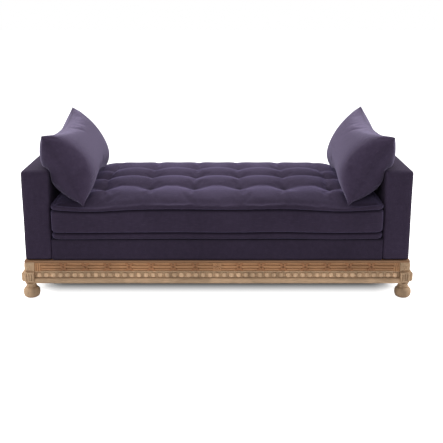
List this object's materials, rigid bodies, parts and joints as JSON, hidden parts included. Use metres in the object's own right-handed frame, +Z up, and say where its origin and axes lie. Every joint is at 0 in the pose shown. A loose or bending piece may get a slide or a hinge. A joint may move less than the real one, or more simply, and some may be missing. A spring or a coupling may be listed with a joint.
{
  "type": "tufted daybed",
  "caption": "Backless upholstered daybed: loose tufted mattress between two box arms on a carved wooden plinth with bun feet, and long pillows leaning on the arms.",
  "frame": {"origin": "on the floor under the middle of the daybed", "axes": "+X along the daybed towards its right-hand arm as seen from the front, +Y towards the back, +Z up"},
  "size_m": [1.998, 0.948, 0.8836],
  "materials": {
    "carved_wood": "matte",
    "frame_wood": "matte",
    "linen": "matte",
    "decking": "matte",
    "filling": "matte",
    "webbing": "matte",
    "dust_cloth": "matte",
    "steel": "satin",
    "glide": "matte"
  },
  "bodies": {
    "frame": {"front_base_rail": "carved_wood", "front_reed_frieze": "carved_wood", "front_bead_strip": "carved_wood", "back_base_rail": "carved_wood", "back_reed_frieze": "carved_wood", "back_bead_strip": "carved_wood", "left_base_rail": "carved_wood", "left_reed_frieze": "carved_wood", "left_bead_strip": "carved_wood", "right_base_rail": "carved_wood", "right_reed_frieze": "carved_wood", "right_bead_strip": "carved_wood", "corner_post_front_left": "carved_wood", "corner_post_front_right": "carved_wood", "corner_post_back_left": "carved_wood", "corner_post_back_right": "carved_wood", "corner_bosses": "carved_wood", "base_corner_blocks": "frame_wood", "bun_feet": "carved_wood", "foot_glides": "glide", "dust_cover": "dust_cloth", "joining_plates": "steel", "seat_rail_front": "frame_wood", "seat_rail_back": "frame_wood", "seat_rail_left": "frame_wood", "seat_rail_right": "frame_wood", "seat_cross_rails": "frame_wood", "seat_corner_blocks": "frame_wood", "webbing_across": "webbing", "webbing_along": "webbing", "deck_pad": "decking", "border_front": "linen", "border_back": "linen", "arm_tenons": "frame_wood", "left_arm_cover": "linen", "left_arm_front_post": "frame_wood", "left_arm_back_post": "frame_wood", "left_arm_top_board": "frame_wood", "left_arm_rails": "frame_wood", "right_arm_cover": "linen", "right_arm_front_post": "frame_wood", "right_arm_back_post": "frame_wood", "right_arm_top_board": "frame_wood", "right_arm_rails": "frame_wood"},
    "mattress": {"mattress": "linen", "mattress_core": "filling"},
    "left_pillow": {"left_pillow_cover": "linen", "left_pillow_insert": "filling"},
    "right_pillow": {"right_pillow_cover": "linen", "right_pillow_insert": "filling"}
  },
  "joints": [
    {"name": "mattress_lift", "type": "slide", "parent": "frame", "child": "mattress", "axis": [0, 0, 1], "range_m": [0, 0.4]},
    {"name": "left_pillow_lift", "type": "slide", "parent": "mattress", "child": "left_pillow", "axis": [0, 0, 1], "range_m": [0, 0.4]},
    {"name": "right_pillow_lift", "type": "slide", "parent": "mattress", "child": "right_pillow", "axis": [0, 0, 1], "range_m": [0, 0.4]}
  ]
}
